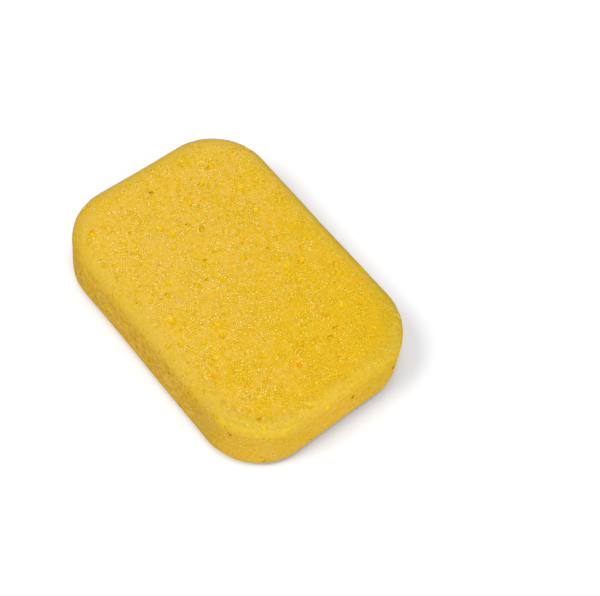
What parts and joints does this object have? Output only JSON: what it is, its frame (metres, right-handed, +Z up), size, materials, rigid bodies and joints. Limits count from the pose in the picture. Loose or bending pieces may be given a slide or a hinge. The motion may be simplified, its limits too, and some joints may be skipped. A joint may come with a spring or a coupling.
{
  "type": "cleaning sponge",
  "caption": "Rectangular block of open-cell foam with large round corners, soft rounded edges and round pores over every face.",
  "frame": {"origin": "middle of the underside, on the surface that the sponge rests on", "axes": "+X along the length, +Y along the width, +Z up through the thickness"},
  "size_m": [0.19, 0.133, 0.038],
  "materials": {
    "foam": "matte open-cell foam with fine cells"
  },
  "bodies": {
    "root": {"sponge": "foam"}
  },
  "joints": []
}
